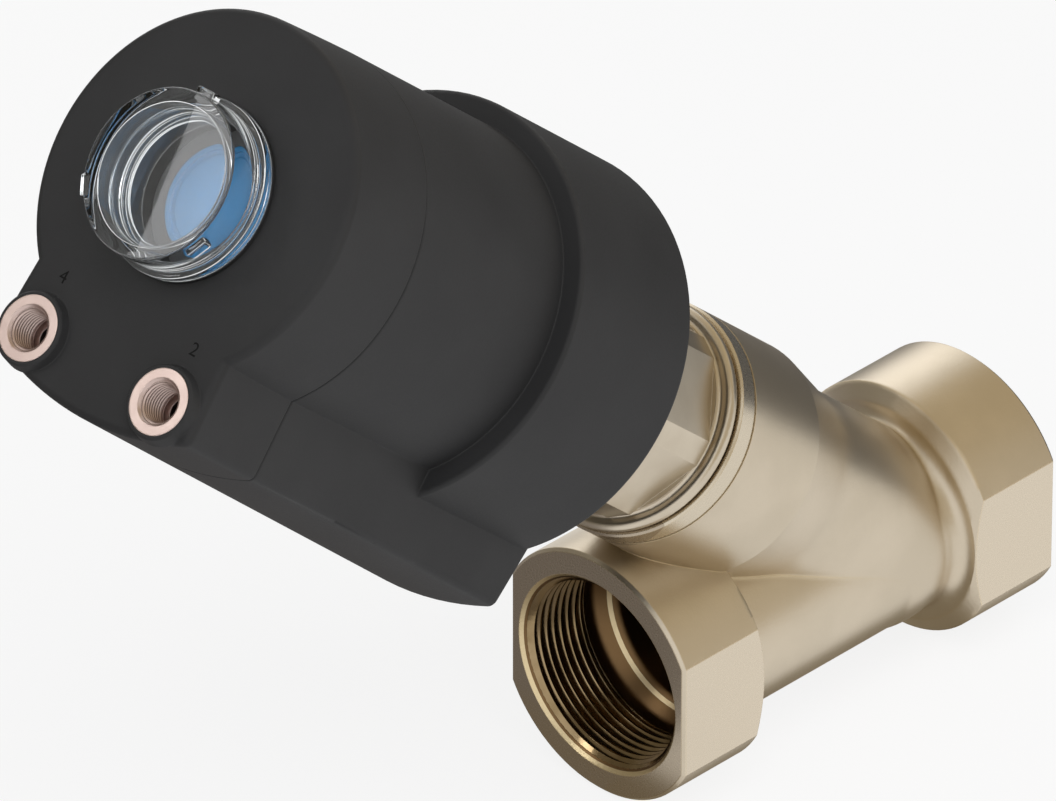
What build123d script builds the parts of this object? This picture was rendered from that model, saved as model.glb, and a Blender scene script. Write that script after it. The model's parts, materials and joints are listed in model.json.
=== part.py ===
from build123d import *
import os
from math import cos, radians, sin, sqrt, tan, pi

# Angle seat valve with a pneumatic piston actuator, in millimetres.
# The pipe runs along X with its front port at x = 0, and Z is up.
# The stem leans back over the front port. Stem parts are drawn upright, with z as the
# height above the crossing of the two centre lines, and are then laid on the stem.

# Pipe
face_to_face = 120.0
stem_from_front = 83.5
stem_angle = 42.0
hub_radius = 31.0
hub_across_flats = 55.0
hub_length = 23.5
hub_mouth_bevel = 0.8
hub_back_length = 2.4
hub_back_radius = 27.2
hub_back_fillet = 3.4
passage_radius = 20.0
pipe_wall = 3.2
thread_bore_radius = 23.5
thread_length = 18.5
mouth_radius = 24.8
relief_radius = 23.9
relief_length = 2.6
relief_taper = 1.2

# Neck of the casting
bulb_wall = 3.4
chamber_radius = 20.4
neck_radius = 27.9
neck_low = 63.0
neck_top = 96.2
bulb_blend_low = 43.0
bulb_blend_radius = 30.0
groove_below_mouth = 5.3
groove_width = 0.6
groove_depth = 0.4
neck_bore_radius = 24.0
neck_shoulder = 72.0
neck_shoulder_radius = 21.2
neck_mouth_bevel = 0.5

# Seat
seat_height = 10.0
seat_web = 3.5
seat_lip_height = 1.5
seat_lip_width = 2.0
orifice_radius = 17.5

# Stem
spindle_radius = 6.0
stud_radius = 5.0
pin_radius = 3.0
stud_beyond_nut = 2.0
stud_bevel = 1.0
plug_height = 17.0
plug_radius = 19.6
plug_rim = 6.0
plug_boss_radius = 10.0
plug_cone_radius = 14.0
plug_cone_low = 2.0
plug_cone_high = 6.0
plug_seal_thickness = 3.0
plug_seal_radius = 18.9
plug_seal_show = 0.8
plug_washer_thickness = 2.5
plug_washer_radius = 13.0
plug_nut_height = 6.0
nut_cone_reach = 1.0
plug_nut_across = 17.0

# Bonnet
bonnet_gap = 0.5
bonnet_flange_radius = 27.2
bonnet_flange = 4.2
bonnet_bead = 1.6
bonnet_bead_rounding = 1.52
bonnet_under_rounding = 0.96
bonnet_cove_rounding = 0.9
bonnet_cone_inset = 2.0
bonnet_shank_bevel = 1.0
bonnet_hex_across = 45.5
bonnet_hex_narrow = 6.0
bonnet_hex_height = 19.0
bonnet_hex_bevel = 1.0
bonnet_cone = 5.0
bonnet_tube_radius = 17.0
bonnet_spigot_radius = 13.5
packing_bore_radius = 11.5
gasket_thickness = 1.2
guide_bush_length = 10.0
guide_bush_radius = 9.0
wiper_length = 2.2
wiper_lip = 0.6
packing_support_length = 3.0
packing_ring_length = 3.0
packing_ring_count = 4
packing_lip = 1.2
thrust_ring_length = 3.0
gland_length = 10.0
gland_slot = 2.5
upper_bush_length = 10.0
upper_bush_recess = 1.0
spindle_seal_length = 4.0
bearing_wall = 2.0
retainer_thickness = 1.5
retainer_from_top = 2.8
retainer_bite = 0.9
retainer_out = 3.0
retainer_gap = 4.0

# Actuator
actuator_low = 149.3
lower_ring_length = 45.7
housing_length = 101.2
cover_height = 27.0
lower_ring_radius = 47.1
upper_radius = 42.0
cover_face_radius = 41.3
cover_crown = 0.08
face_fillet = 1.8
skirt_depth = 5.0
skirt_wall = 4.0
skirt_draft = 1.0
floor_thickness = 6.0
boss_radius = 22.0
boss_drop = 3.0
piston_bore_radius = 43.0
piston_bore_end = 4.0
piston_bore_slope = 2.0
upper_bore_radius = 38.5
step_rounding = 1.0
lower_edge_fillet = 1.5
parting_groove = 0.35
skirt_rib_count = 12
skirt_rib_width = 2.0
skirt_rib_height = 3.5

# Air channel under the actuator
channel_half_width = 29.4
channel_flare = 1.0
channel_corner_front = 48.3
channel_depth_front = 54.3
channel_corner_back = 50.6
channel_depth_back = 57.3
channel_end_slant = 3.0
channel_slant_start = 35.3
channel_edge_fillet = 2.2
air_hole_radius = 2.2

# Ports
port_side = 20.2
port_drop = 43.0
port_boss_radius = 8.5
port_boss_draft = 0.7
port_boss_height = 2.6
port_boss_edge = 0.4
port_boss_root = 0.8
port_boss_below = 6.0
insert_radius = 7.6
insert_length = 13.0
insert_bore_radius = 4.8
insert_thread_length = 8.5
insert_mouth_radius = 5.4
insert_groove_depth = 0.5
insert_throat_radius = 3.0
port_seal_thickness = 1.6

# Cover
cover_wall = 3.4
cover_top_wall = 5.0
cover_corner = 2.0
cover_spigot_length = 7.0
cover_seal_radius = 1.3
well_radius = 17.7
well_wall = 3.0
well_depth = 15.5
well_floor_thickness = 4.0

# Piston
piston_clearance = 0.8
piston_gap = 0.7
piston_height = 11.0
piston_rim = 4.0
piston_web = 4.0
piston_draft = 1.0
piston_hub_radius = 13.0
piston_hub_height = 14.0
piston_rib_count = 8
piston_rib_width = 2.5
piston_land = 1.2
piston_seal_height = 3.6
piston_seal_depth = 3.0
guide_ring_height = 2.5
guide_ring_depth = 1.6
piston_nut_height = 7.0
piston_nut_across = 16.0

# Spring
spring_radius = 30.5
spring_wire_radius = 2.3
spring_turns = 5.0

# Indicator
indicator_radius = 13.5
indicator_depth = 9.9
indicator_thickness = 5.0
indicator_rim = 1.2
indicator_groove = 0.4
indicator_shank_radius = 4.95
indicator_shank_length = 27.0
indicator_guide_height = 4.4
dome_radius = 19.3
dome_wall = 1.8
dome_inset = 1.0
dome_height = 14.5
dome_window = 2.0
dome_flange_radius = 20.6
dome_flange_height = 3.0
dome_spigot_length = 6.0
dome_lug_count = 3
dome_lug_width = 7.0
dome_lug_height = 3.0
dome_lug_out = 1.4
dome_lug_angle = 50.0
dome_edge_fillet = 0.9
dome_seal_thickness = 1.0
dome_lip_radius = 15.0
dome_lip_height = 1.0

# Clearances
running = 0.05
loose = 0.15
free = 0.4

pipe_radius = passage_radius + pipe_wall
bulb_radius = chamber_radius + bulb_wall
lift = radians(stem_angle)
stem = Plane(origin=(stem_from_front, 0, 0), x_dir=(0, -1, 0), z_dir=(-cos(lift), 0, sin(lift)))
os.makedirs("parts", exist_ok=True)


def save(name, shape, upright=True):
    """Write one sub-part, laid on the stem when it was drawn upright."""
    placed = stem.location * shape if upright else shape
    solids = placed.solids()
    placed = solids[0] if len(solids) == 1 else Compound(children=list(solids))
    placed.label = name
    export_step(placed, f"parts/{name}.step")
    return placed


def ring(inner, outer, low, high):
    """Plain ring or disc between two heights."""
    band = Pos(0, 0, low) * Cylinder(outer, high - low, align=(Align.CENTER, Align.CENTER, Align.MIN))
    if inner > 0:
        band -= Pos(0, 0, low) * Cylinder(inner, high - low, align=(Align.CENTER, Align.CENTER, Align.MIN))
    return band


def section(points, rounds=()):
    """Closed outline of (radius, height) points, with (point, radius) corners rounded."""
    face = make_face(Polyline(*points, close=True))
    for place, size in rounds:
        corner = face.vertices().sort_by_distance((place[0], place[1], 0))[0]
        face = fillet(corner, size)
    return face


def turned(points, rounds=()):
    """Body of revolution about the upright axis."""
    return revolve(Plane.XZ * section(points, rounds), Axis.Z)


def hexagon(across, low, high):
    """Hexagonal prism, measured across its flats."""
    outline = RegularPolygon(across / 2, 6, major_radius=False)
    return Pos(0, 0, low) * extrude(outline, high - low)


def chamfered_hexagon(across, low, high):
    """Hexagonal prism whose top corners are turned off."""
    corner = across / sqrt(3)
    flat = across / 2
    reach = corner + nut_cone_reach
    shoulder = high - (corner - flat)
    cone = turned([(0, low), (reach, low), (reach, shoulder), (flat, high), (0, high)])
    return hexagon(across, low, high) & cone


def pipe_outside():
    """Hub, tube and hub in one turning, with two flats on each hub."""
    hub_end = hub_length + hub_back_length
    front = [
        (0, 0),
        (0, hub_radius - hub_mouth_bevel),
        (hub_mouth_bevel, hub_radius),
        (hub_length, hub_radius),
        (hub_end, hub_back_radius),
        (hub_end, pipe_radius),
    ]
    rear = [(face_to_face - x, r) for x, r in reversed(front)]
    rounds = [((hub_end, pipe_radius), hub_back_fillet)]
    rounds += [((face_to_face - hub_end, pipe_radius), hub_back_fillet)]
    body = revolve(Plane.XZ * section(front + rear, rounds), Axis.X)
    half = hub_across_flats / 2
    flats = section([
        (0, half - hub_mouth_bevel),
        (hub_mouth_bevel, half),
        (face_to_face - hub_mouth_bevel, half),
        (face_to_face, half - hub_mouth_bevel),
        (face_to_face, hub_mouth_bevel - half),
        (face_to_face - hub_mouth_bevel, -half),
        (hub_mouth_bevel, -half),
        (0, hub_mouth_bevel - half),
    ])
    return body & extrude(flats, 2 * hub_radius, both=True)


def neck_outside():
    """Bulb with a round end, its blend and the straight neck with a fine groove."""
    groove_top = neck_top - groove_below_mouth
    groove_low = groove_top - groove_width
    groove_radius = neck_radius - groove_depth
    tip = (0, -bulb_radius)
    middle = (bulb_radius * sin(pi / 4), -bulb_radius * cos(pi / 4))
    shoulder = (bulb_radius, 0)
    outline = ThreePointArc(tip, middle, shoulder) + Polyline(
        shoulder,
        (bulb_radius, bulb_blend_low),
        (neck_radius, neck_low),
        (neck_radius, groove_low),
        (groove_radius, groove_low),
        (groove_radius, groove_top),
        (neck_radius, groove_top),
        (neck_radius, neck_top - neck_mouth_bevel),
        (neck_radius - neck_mouth_bevel, neck_top),
        (0, neck_top),
        tip,
    )
    face = make_face(outline)
    corner = face.vertices().sort_by_distance((bulb_radius, bulb_blend_low, 0))[0]
    face = fillet(corner, bulb_blend_radius)
    return revolve(Plane.XZ * face, Axis.Z)


def port_bore():
    """Threaded bore with a chamfered mouth, a relief and a taper into the passage."""
    chamfer = mouth_radius - thread_bore_radius
    thread_end = chamfer + thread_length
    relief_end = thread_end + relief_length
    step = relief_radius - passage_radius
    outline = [
        (0, 0),
        (0, mouth_radius),
        (chamfer, thread_bore_radius),
        (thread_end, thread_bore_radius),
        (thread_end, relief_radius),
        (relief_end, relief_radius),
        (relief_end + relief_taper * step, passage_radius),
        (relief_end + relief_taper * step, 0),
    ]
    return revolve(Plane.XZ * section(outline), Axis.X)


def make_valve_body():
    """Y-pattern casting."""
    outside = pipe_outside() + stem.location * neck_outside()
    reach = 3 * face_to_face
    web_top = seat_height - seat_lip_height
    web_low = web_top - seat_web
    upward = Box(reach, reach, reach, align=(Align.CENTER, Align.CENTER, Align.MIN))
    downward = Box(reach, reach, reach, align=(Align.CENTER, Align.CENTER, Align.MAX))
    above = stem.location * Pos(0, 0, web_top) * upward
    below = stem.location * Pos(0, 0, web_low) * downward
    bore = port_bore()
    far_bore = Pos(face_to_face, 0, 0) * Rot(0, 0, 180) * bore
    through = Pos(face_to_face / 2, 0, 0) * Rot(0, 90, 0) * Cylinder(passage_radius, face_to_face)
    front_passage = through & above
    rear_passage = through & below
    lip = ring(orifice_radius, orifice_radius + seat_lip_width, web_top, seat_height)
    chamber = turned([
        (0, web_top),
        (chamber_radius, web_top),
        (chamber_radius, neck_shoulder - (neck_shoulder_radius - chamber_radius)),
        (neck_shoulder_radius, neck_shoulder),
        (neck_bore_radius, neck_shoulder),
        (neck_bore_radius, neck_top - loose),
        (neck_bore_radius + loose, neck_top),
        (0, neck_top),
    ])
    orifice = ring(0, orifice_radius, web_low - 1, seat_height)
    body = outside - bore - far_bore - front_passage - rear_passage
    return body - stem.location * (chamber - lip) - stem.location * orifice


def make_bonnet():
    """Screwed bonnet: shank, bead-edged flange, hexagon, cone, tube and spigot."""
    flange_low = neck_top + bonnet_gap
    flange_top = flange_low + bonnet_flange
    hex_top = flange_top + bonnet_hex_height
    bead_top = flange_low + 2 * bonnet_bead
    tube_top = actuator_low - boss_drop - free
    shank_radius = neck_bore_radius - loose
    flat = bonnet_hex_across / 2
    side = bonnet_hex_across / sqrt(3)
    cove_radius = bonnet_flange_radius - 2 * bonnet_bead
    shell = turned(
        [
            (0, shank_low),
            (shank_radius - bonnet_shank_bevel, shank_low),
            (shank_radius, shank_low + bonnet_shank_bevel),
            (shank_radius, flange_low),
            (bonnet_flange_radius, flange_low),
            (bonnet_flange_radius, bead_top),
            (cove_radius, bead_top),
            (cove_radius, flange_top),
            (0, flange_top),
        ],
        [
            ((bonnet_flange_radius, bead_top), bonnet_bead_rounding),
            ((bonnet_flange_radius, flange_low), bonnet_under_rounding),
            ((cove_radius, bead_top), bonnet_cove_rounding),
        ],
    )
    cut_distance = side - bonnet_hex_narrow / 2 / tan(radians(60))
    cut_corners = Rot(0, 0, 30) * RegularPolygon(cut_distance, 6, major_radius=False)
    cut_corners = Pos(0, 0, flange_top) * extrude(cut_corners, bonnet_hex_height)
    hex_part = hexagon(bonnet_hex_across, flange_top, hex_top) & cut_corners
    top_round = turned([
        (0, flange_top),
        (side, flange_top),
        (side, hex_top - bonnet_hex_bevel),
        (flat - bonnet_hex_bevel, hex_top),
        (0, hex_top),
    ])
    upper = turned([
        (0, flange_top),
        (flat - bonnet_cone_inset, flange_top),
        (flat - bonnet_cone_inset, hex_top),
        (bonnet_tube_radius, hex_top + bonnet_cone),
        (bonnet_tube_radius, tube_top),
        (bonnet_spigot_radius, tube_top),
        (bonnet_spigot_radius, spigot_top),
        (0, spigot_top),
    ])
    shell += (hex_part & top_round) + upper
    shell -= ring(0, guide_bush_radius + running, shank_low, bush_top)
    shell -= ring(0, packing_bore_radius, bush_top, spigot_top)
    groove_radius = bonnet_spigot_radius - retainer_bite
    groove_top = retainer_low + retainer_thickness
    return shell - ring(groove_radius, bonnet_tube_radius, retainer_low, groove_top)


def make_packing_ring(low):
    """One V-shaped ring of the stack, with its lips pointing up."""
    inner = spindle_radius + running
    outer = packing_bore_radius - running
    middle = (inner + outer) / 2
    high = low + packing_ring_length - running
    return turned([
        (inner, low + packing_lip),
        (middle, low),
        (outer, low + packing_lip),
        (outer, high),
        (middle, high - packing_lip),
        (inner, high),
    ])


def channel_section(corner, depth, height):
    """Outline of the air channel's saddle: two flanks and an arched floor."""
    top = -channel_corner_front / 2
    start = (channel_half_width, -sqrt(cover_face_radius**2 - channel_half_width**2))
    low = (channel_half_width + channel_flare, -corner)
    outline = Polyline((0, top), (channel_half_width, top), start, low)
    outline += ThreePointArc(low, (0, -depth), (-low[0], low[1]))
    outline += Polyline((-low[0], low[1]), (-start[0], start[1]), (-channel_half_width, top), (0, top))
    return Pos(0, 0, height) * make_face(outline)


def channel_saddle():
    """Saddle under the whole actuator, deeper at its lower end, with slanted end."""
    back = channel_section(channel_corner_back, channel_depth_back, actuator_low)
    front = channel_section(channel_corner_front, channel_depth_front, face_height)
    saddle = loft([back, front], ruled=True)
    edges = saddle.edges().filter_by(lambda e: abs(e.center().Z - (actuator_low + face_height) / 2) < 1)
    edges = edges.filter_by(lambda e: e.center().Y < -channel_corner_front + 2)
    saddle = fillet(edges, channel_edge_fillet)
    slope = channel_end_slant / (channel_depth_back - channel_slant_start)
    depth = 3 * channel_depth_back
    wedge_face = make_face(Polyline(
        (-channel_slant_start, actuator_low),
        (-depth, actuator_low + slope * (depth - channel_slant_start)),
        (-depth, actuator_low - depth),
        (-channel_slant_start, actuator_low - depth),
        close=True,
    ))
    wedge = extrude(Plane.YZ * wedge_face, 2 * upper_radius, both=True)
    return saddle - wedge


def parting_bevel(shape, height):
    """Bevel the outer edge of the face at the parting line, for half of its groove."""
    face = shape.faces().filter_by(lambda f: abs(f.center().Z - height) < 0.01).sort_by(SortBy.AREA)[-1]
    return chamfer(face.outer_wire().edges(), parting_groove)


def make_housing(saddle):
    """Moulded actuator housing up to the parting line."""
    step = actuator_low + lower_ring_length
    outside = turned(
        [
            (0, actuator_low),
            (lower_ring_radius, actuator_low),
            (lower_ring_radius, step),
            (upper_radius, step),
            (upper_radius, parting_height),
            (0, parting_height),
        ],
        [((lower_ring_radius, actuator_low), lower_edge_fillet), ((lower_ring_radius, step), step_rounding)],
    )
    outside += saddle & ring(0, 3 * upper_radius, actuator_low, parting_height)
    outside = parting_bevel(outside, parting_height)
    recess = turned([
        (boss_radius, actuator_low - 1),
        (lower_ring_radius - skirt_wall, actuator_low - 1),
        (lower_ring_radius - skirt_wall - skirt_draft, floor_low),
        (boss_radius + skirt_draft, floor_low),
    ])
    boss = ring(0, boss_radius, actuator_low - boss_drop, floor_low)
    lower_bore_top = step - piston_bore_end
    cavity = turned([
        (0, floor_top),
        (piston_bore_radius, floor_top),
        (piston_bore_radius, lower_bore_top),
        (upper_bore_radius, lower_bore_top + piston_bore_slope),
        (upper_bore_radius, parting_height),
        (0, parting_height),
    ])
    bush_radius = bonnet_spigot_radius + bearing_wall
    rib_length = lower_ring_radius - skirt_wall - boss_radius
    ribs = [
        Rot(0, 0, 360 / skirt_rib_count * k)
        * Pos(boss_radius - 0.5, 0, floor_low)
        * Box(
            rib_length,
            skirt_rib_width,
            skirt_rib_height,
            align=(Align.MIN, Align.CENTER, Align.MAX),
        )
        for k in range(skirt_rib_count)
    ]
    body = outside - recess + boss - cavity + ribs
    body -= ring(0, bush_radius + running, actuator_low - boss_drop, floor_top)
    pocket_radius = bonnet_spigot_radius + retainer_out + free
    body -= ring(0, pocket_radius, floor_top - retainer_from_top - free, floor_top)
    spot = Pos(port_side, -port_drop, 0)
    body -= spot * ring(0, air_hole_radius, floor_top + air_hole_radius, parting_height)
    height = floor_top + 2 * air_hole_radius
    body -= radial_hole(port_side, -port_drop, height, piston_bore_radius)
    return body


def radial_hole(side, drop, height, inner_radius):
    """Short hole from a vertical air hole at (side, drop) in to the bore."""
    away = sqrt(side**2 + drop**2)
    length = away - inner_radius + 2
    direction = Vector(-side, -drop, 0)
    plane = Plane(origin=(side, drop, height), z_dir=direction)
    return plane.location * Cylinder(air_hole_radius, length, align=(Align.CENTER, Align.CENTER, Align.MIN))


def make_cover(saddle):
    """Moulded cover with a crowned rim, two port bosses and the indicator well."""
    top_low = face_height - cover_top_wall
    low = (upper_radius, parting_height)
    high = (cover_face_radius, face_height)
    middle = ((low[0] + high[0]) / 2 + cover_crown, (low[1] + high[1]) / 2)
    side = ThreePointArc(low, middle, high) + Polyline(high, (0, face_height), (0, parting_height), low)
    outside = revolve(Plane.XZ * make_face(side), Axis.Z)
    outside += saddle & ring(0, 3 * upper_radius, parting_height, 2 * face_height)
    rim = outside.faces().sort_by(Axis.Z)[-1].edges()
    outside = parting_bevel(fillet(rim, face_fillet), parting_height)
    spigot_low = parting_height - cover_spigot_length
    spigot = ring(spigot_radius - cover_wall, spigot_radius, spigot_low, parting_height)
    spigot -= ring(
        spigot_radius - 2 * cover_seal_radius,
        spigot_radius + 1,
        cover_groove_height - cover_seal_radius,
        cover_groove_height + cover_seal_radius,
    )
    cavity = turned([
        (0, parting_height),
        (spigot_radius - cover_wall, parting_height),
        (spigot_radius - cover_wall, top_low - cover_corner),
        (spigot_radius - cover_wall - cover_corner, top_low),
        (0, top_low),
    ])
    well_low = well_floor_height - well_floor_thickness
    well = ring(0, well_radius + well_wall, well_low, top_low + 1)
    body = outside + spigot - cavity + well
    root_radius = port_boss_radius + port_boss_draft
    boss_low = face_height - port_boss_below
    for side in (port_side, -port_side):
        body += Pos(side, -port_drop, 0) * turned([
            (0, boss_low),
            (root_radius - port_boss_below + port_boss_root, boss_low),
            (root_radius, face_height - port_boss_root),
            (port_boss_radius, boss_top - port_boss_edge),
            (port_boss_radius - port_boss_edge, boss_top),
            (0, boss_top),
        ])
    body -= ring(0, well_radius, well_floor_height, face_height)
    body -= ring(0, indicator_shank_radius + running, well_low, well_floor_height)
    seal_low = insert_low - port_seal_thickness
    air_low = seal_low - 3 * air_hole_radius
    for side in (port_side, -port_side):
        spot = Pos(side, -port_drop, 0)
        body -= spot * ring(0, insert_radius, seal_low, boss_top)
        end = parting_height if side > 0 else air_low
        body -= spot * ring(0, air_hole_radius, end, seal_low)
    body -= radial_hole(-port_side, -port_drop, air_low + air_hole_radius, spigot_radius - cover_wall)
    return body


def make_insert(side):
    """Threaded metal insert with a plain face and a knurled band."""
    band = insert_length / 5
    thread_top = boss_top - (insert_mouth_radius - insert_bore_radius)
    thread_low = thread_top - insert_thread_length
    shape = turned([
        (insert_bore_radius, thread_top),
        (insert_mouth_radius, boss_top),
        (insert_radius - running, boss_top),
        (insert_radius - running, boss_top - band),
        (insert_radius - insert_groove_depth, boss_top - band),
        (insert_radius - insert_groove_depth, boss_top - 2 * band),
        (insert_radius - running, boss_top - 2 * band),
        (insert_radius - running, insert_low),
        (insert_throat_radius, insert_low),
        (insert_throat_radius, thread_low),
        (insert_bore_radius, thread_low),
    ])
    return Pos(side, -port_drop, 0) * shape


def make_dome():
    """Clear bayonet dome: window, tube, flange, spigot and lugs."""
    top = face_height + dome_height
    flange_low = face_height + dome_seal_thickness
    flange_top = flange_low + dome_flange_height
    spigot_radius = well_radius - running * 2
    inner = dome_radius - dome_wall - dome_inset
    outer = turned(
        [
            (0, flange_low),
            (dome_flange_radius, flange_low),
            (dome_flange_radius, flange_top),
            (dome_radius, flange_top),
            (dome_radius, top),
            (0, top),
        ],
        [((dome_radius, top), dome_edge_fillet), ((dome_flange_radius, flange_top), dome_edge_fillet)],
    )
    outer += ring(0, spigot_radius, face_height - dome_spigot_length, flange_low)
    lip = ring(dome_lip_radius, inner, flange_low, flange_low + dome_lip_height)
    dome = outer - ring(0, inner, face_height - dome_spigot_length, top - dome_window) + lip
    lug_low = flange_top + dome_lug_height
    arc = 360 / dome_lug_count
    blocks = [
        Rot(0, 0, dome_lug_angle + arc * k)
        * Pos(dome_radius - dome_wall / 2, 0, lug_low)
        * Box(
            dome_lug_out + dome_wall / 2,
            dome_lug_width,
            dome_lug_height,
            align=(Align.MIN, Align.CENTER, Align.MIN),
        )
        for k in range(dome_lug_count)
    ]
    for block in blocks:
        dome += block
    return dome


def make_piston():
    """Dished piston with a hub, radial ribs, a seal groove and a guide groove."""
    low = piston_low
    rim_radius = piston_bore_radius - piston_clearance
    hub_top = low + piston_hub_height
    shape = turned([
        (stud_radius + running, low),
        (rim_radius, low),
        (rim_radius, low + piston_height),
        (rim_radius - piston_rim, low + piston_height),
        (rim_radius - piston_rim - piston_draft, low + piston_web),
        (piston_hub_radius + piston_draft, low + piston_web),
        (piston_hub_radius, hub_top),
        (stud_radius + running, hub_top),
    ])
    seat = spring_radius - spring_wire_radius - 2
    rib_length = seat - piston_hub_radius + 1
    for k in range(piston_rib_count):
        rib = Pos(piston_hub_radius - 0.5, 0, low + 1) * Box(
            rib_length,
            piston_rib_width,
            piston_height - 1,
            align=(Align.MIN, Align.CENTER, Align.MIN),
        )
        shape += Rot(0, 0, 360 / piston_rib_count * (k + 0.5)) * rib
    seal_low = low + piston_land
    shape -= ring(rim_radius - piston_seal_depth, rim_radius + 1, seal_low, seal_low + piston_seal_height)
    guide_low = low + piston_height - guide_ring_height - piston_land
    shape -= ring(rim_radius - guide_ring_depth, rim_radius + 1, guide_low, guide_low + guide_ring_height)
    return shape


def make_spring():
    """Closing spring with its two ends resting on the piston and the cover."""
    low = piston_low + piston_web + spring_wire_radius + loose
    high = face_height - cover_top_wall - spring_wire_radius - loose
    path = Helix(pitch=(high - low) / spring_turns, height=high - low, radius=spring_radius)
    path = Pos(0, 0, low) * path
    wire = Plane(origin=path @ 0, z_dir=path % 0) * Circle(spring_wire_radius)
    return sweep(wire, path=path, is_frenet=True)


parting_height = actuator_low + housing_length
face_height = parting_height + cover_height
well_floor_height = face_height - well_depth
indicator_face = face_height - indicator_depth
floor_low = actuator_low + skirt_depth
floor_top = floor_low + floor_thickness
piston_low = floor_top + piston_gap
shank_low = neck_shoulder + gasket_thickness
bush_low = shank_low + wiper_length
bush_top = bush_low + guide_bush_length
support_top = bush_top + packing_support_length
packing_top = support_top + packing_ring_count * packing_ring_length
thrust_top = packing_top + thrust_ring_length
gland_top = thrust_top + gland_length
spigot_top = floor_top - loose
upper_bush_top = spigot_top - upper_bush_recess
upper_bush_low = upper_bush_top - upper_bush_length
seal_top = upper_bush_low
plug_low = seat_height + plug_seal_thickness
plug_top = plug_low + plug_height
washer_low = seat_height - plug_washer_thickness
nut_low = washer_low - plug_nut_height
piston_top = piston_low + piston_hub_height
indicator_low = indicator_face - indicator_thickness
shank_end = indicator_low - indicator_shank_length
inside = spindle_radius + running
packing_outer = packing_bore_radius - running
retainer_low = floor_top - retainer_from_top
boss_top = face_height + port_boss_height
insert_low = boss_top - insert_length
spigot_radius = upper_bore_radius - loose
cover_groove_height = parting_height - cover_spigot_length / 2

save("valve_body", make_valve_body(), upright=False)
save("bonnet", make_bonnet())
save("body_gasket", ring(neck_shoulder_radius + free, neck_bore_radius - loose, neck_shoulder, shank_low))
save("wiper_ring", turned([
    (inside, shank_low),
    (guide_bush_radius, shank_low),
    (guide_bush_radius, bush_low),
    (inside + 2 * wiper_lip, bush_low),
    (inside + wiper_lip, shank_low + wiper_lip),
]))
save("guide_bush", ring(inside, guide_bush_radius, bush_low, bush_top))
save("packing_support", turned([
    (inside, bush_top),
    (packing_outer, bush_top),
    (packing_outer, support_top + packing_lip - running),
    ((inside + packing_outer) / 2, support_top - running),
    (inside, support_top + packing_lip - running),
]))
rings = [make_packing_ring(support_top + k * packing_ring_length) for k in range(packing_ring_count)]
save("packing_rings", Compound(children=rings))
save("packing_thrust_ring", turned([
    (inside, packing_top),
    ((inside + packing_outer) / 2, packing_top - packing_lip),
    (packing_outer, packing_top),
    (packing_outer, thrust_top),
    (inside, thrust_top),
]))
gland = ring(inside + loose, packing_outer, thrust_top, gland_top)
gland -= Pos(0, 0, gland_top) * Box(3 * packing_outer, gland_slot, 2 * gland_slot)
save("packing_gland", gland)
save("upper_bush", ring(inside, packing_outer, upper_bush_low, upper_bush_top))
save("spindle_seal", ring(inside, packing_outer, seal_top - spindle_seal_length, seal_top))
retainer = ring(
    bonnet_spigot_radius - retainer_bite + running,
    bonnet_spigot_radius + retainer_out,
    retainer_low + running,
    retainer_low + retainer_thickness - running,
)
retainer_slot = Box(3 * retainer_out, retainer_gap, 4 * retainer_thickness)
retainer -= Pos(bonnet_spigot_radius, 0, retainer_low) * retainer_slot
save("tube_retainer", retainer)

stud_low = nut_low - stud_beyond_nut
spindle = turned([
    (0, stud_low),
    (stud_radius - stud_bevel, stud_low),
    (stud_radius, stud_low + stud_bevel),
    (stud_radius, plug_top),
    (spindle_radius, plug_top),
    (spindle_radius, piston_low),
    (stud_radius, piston_low),
    (stud_radius, shank_end),
    (pin_radius, shank_end),
    (pin_radius, shank_end + indicator_shank_length / 2),
    (0, shank_end + indicator_shank_length / 2),
])
save("spindle", spindle)
plug = turned([
    (stud_radius + running, plug_low),
    (plug_seal_radius, plug_low),
    (plug_seal_radius, plug_low - plug_seal_thickness + plug_seal_show),
    (plug_radius, plug_low - plug_seal_thickness + plug_seal_show),
    (plug_radius, plug_low + plug_rim),
    (plug_cone_radius, plug_low + plug_rim + plug_cone_low),
    (plug_boss_radius, plug_low + plug_rim + plug_cone_high),
    (plug_boss_radius, plug_top),
    (stud_radius + running, plug_top),
])
save("valve_plug", plug)
save("plug_seal", ring(stud_radius + running, plug_seal_radius - running, seat_height, plug_low))
save("plug_washer", ring(stud_radius + running, plug_washer_radius, washer_low, seat_height))
nut = chamfered_hexagon(plug_nut_across, nut_low, washer_low)
save("plug_nut", nut - ring(0, stud_radius + running, nut_low, washer_low))
save("piston", make_piston())
rim_radius = piston_bore_radius - piston_clearance
seal_low = piston_low + piston_land
seal_inner = rim_radius - piston_seal_depth
seal_outer = piston_bore_radius - running
save("piston_seal", turned([
    (seal_inner + running, seal_low + running),
    (seal_outer, seal_low + running),
    (seal_outer, seal_low + piston_seal_height / 2),
    (rim_radius - free, seal_low + piston_seal_height - running),
    (seal_inner + running, seal_low + piston_seal_height - running),
]))
guide_low = piston_low + piston_height - guide_ring_height - piston_land
guide_inner = rim_radius - guide_ring_depth + running
guide_top = guide_low + guide_ring_height
save("piston_guide_ring", ring(guide_inner, seal_outer, guide_low + running, guide_top - running))
nut = chamfered_hexagon(piston_nut_across, piston_top, piston_top + piston_nut_height)
save("piston_nut", nut - ring(0, stud_radius + running, piston_top, piston_top + piston_nut_height))
indicator = ring(0, indicator_radius, indicator_low, indicator_face)
groove_low = indicator_face - indicator_groove
groove_outer = indicator_radius - indicator_rim
indicator -= ring(groove_outer - indicator_rim, groove_outer, groove_low, indicator_face)
indicator += ring(0, indicator_shank_radius, shank_end, indicator_low)
indicator -= ring(0, pin_radius + running, shank_end, shank_end + indicator_shank_length / 2 + running)
save("position_indicator", indicator)

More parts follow.
